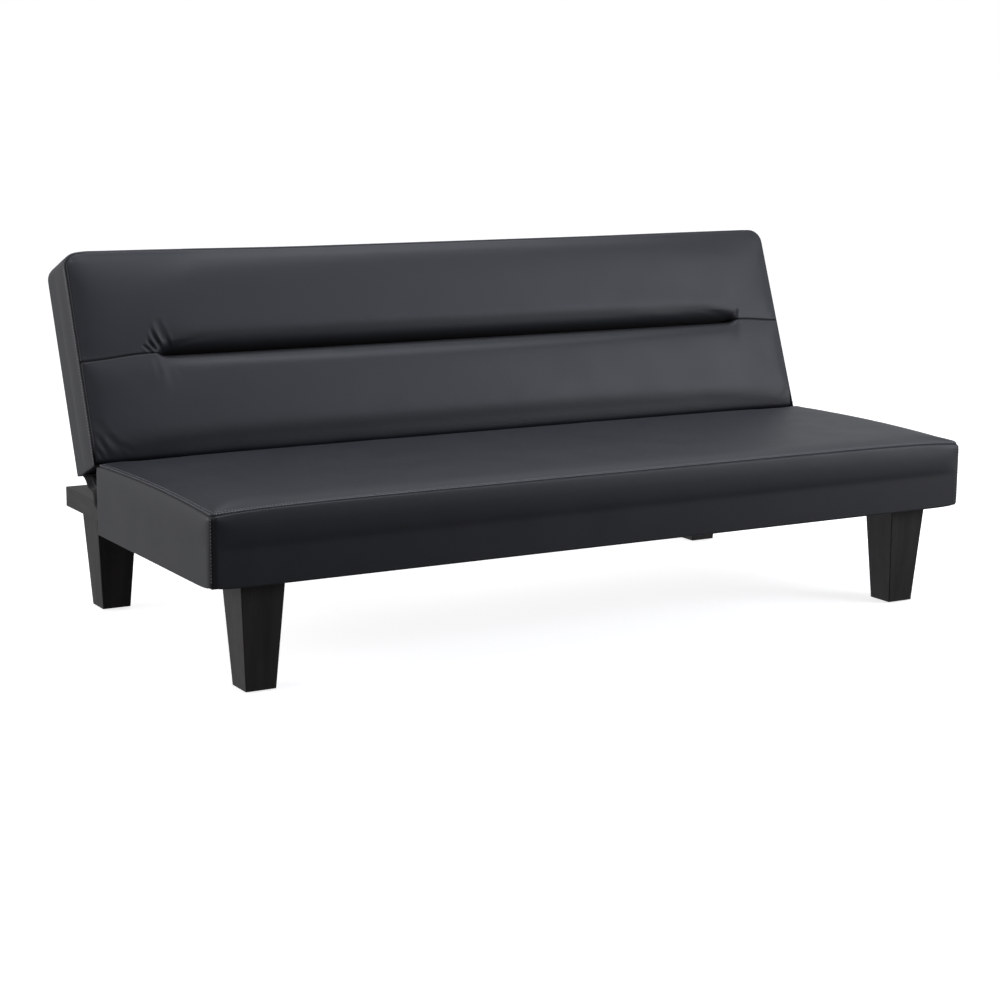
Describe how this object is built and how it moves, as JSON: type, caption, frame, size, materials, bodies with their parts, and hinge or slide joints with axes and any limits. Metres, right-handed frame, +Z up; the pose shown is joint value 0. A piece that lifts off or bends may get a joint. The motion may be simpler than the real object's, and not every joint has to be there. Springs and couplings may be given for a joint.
{
  "type": "futon sofa bed",
  "caption": "Armless click-clack sofa bed with a padded seat, a two-bolster tilting back, flat base rails and square tapered legs.",
  "frame": {"origin": "on the floor, under the middle of the whole sofa's box at rest", "axes": "+X along the sofa to the right as seen from the front, +Y from the front to the rear, +Z up"},
  "size_m": [1.696, 0.863, 0.7376],
  "materials": {
    "stained_wood": "satin",
    "faux_leather": "satin",
    "polyester_wadding": "matte",
    "upholstery_foam": "matte",
    "jute_felt": "matte",
    "nonwoven_cloth": "matte",
    "elastic_webbing": "matte",
    "hardboard": "matte",
    "nylon": "matte",
    "spring_steel": "satin",
    "zinc_steel": "satin",
    "black_steel": "satin",
    "pine_timber": "matte"
  },
  "bodies": {
    "base": {"foot_glides": "nylon", "front_left_leg": "stained_wood", "front_right_leg": "stained_wood", "gap_cover": "nonwoven_cloth", "left_base_rail": "stained_wood", "left_pawl_pin": "zinc_steel", "left_pawl_spring": "spring_steel", "left_pivot_pin": "zinc_steel", "left_seat_leaf": "black_steel", "leg_bolts": "zinc_steel", "leg_washers": "zinc_steel", "rail_bolts": "zinc_steel", "rear_left_leg": "stained_wood", "rear_right_leg": "stained_wood", "right_base_rail": "stained_wood", "right_pawl_pin": "zinc_steel", "right_pawl_spring": "spring_steel", "right_pivot_pin": "zinc_steel", "right_seat_leaf": "black_steel", "seat_cover": "faux_leather", "seat_dust_cover": "nonwoven_cloth", "seat_felt_pad": "jute_felt", "seat_fibre_wrap": "polyester_wadding", "seat_foam": "upholstery_foam", "seat_front_apron": "hardboard", "seat_front_beam": "pine_timber", "seat_leaf_screws": "zinc_steel", "seat_left_apron": "hardboard", "seat_left_beam": "pine_timber", "seat_left_stretcher": "pine_timber", "seat_rear_beam": "pine_timber", "seat_right_apron": "hardboard", "seat_right_beam": "pine_timber", "seat_right_stretcher": "pine_timber", "seat_spring_clips": "spring_steel", "seat_springs": "spring_steel"},
    "backrest": {"back_bottom_rail": "pine_timber", "back_cover": "faux_leather", "back_fibre_wrap": "polyester_wadding", "back_groove_rail": "pine_timber", "back_leaf_screws": "zinc_steel", "back_left_stile": "pine_timber", "back_lower_foam": "upholstery_foam", "back_lower_left_stud": "pine_timber", "back_lower_right_stud": "pine_timber", "back_rear_panel": "hardboard", "back_right_stile": "pine_timber", "back_top_rail": "pine_timber", "back_upper_foam": "upholstery_foam", "back_upper_left_stud": "pine_timber", "back_upper_right_stud": "pine_timber", "back_webbing": "elastic_webbing", "groove_listing": "nonwoven_cloth", "left_back_leaf": "black_steel", "left_ratchet": "black_steel", "right_back_leaf": "black_steel", "right_ratchet": "black_steel"},
    "left_pawl": {"left_pawl": "black_steel"},
    "right_pawl": {"right_pawl": "black_steel"}
  },
  "joints": [
    {"name": "back_recline", "type": "hinge", "parent": "base", "child": "backrest", "pos_m": [0, 0.16488, 0.31], "axis": [-1, 0, 0], "range_deg": [-20, 69], "deforming": ["gap_cover"]},
    {"name": "left_pawl_swing", "type": "hinge", "parent": "base", "child": "left_pawl", "pos_m": [-0.7922, 0.14352, 0.28102], "axis": [1, 0, 0], "range_deg": [0, 8], "deforming": ["left_pawl_spring"]},
    {"name": "right_pawl_swing", "type": "hinge", "parent": "base", "child": "right_pawl", "pos_m": [0.7922, 0.14352, 0.28102], "axis": [1, 0, 0], "range_deg": [0, 8], "deforming": ["right_pawl_spring"]}
  ],
  "couplings": [
    {"joint": "right_pawl_swing", "follows": "left_pawl_swing", "ratio": 1}
  ]
}
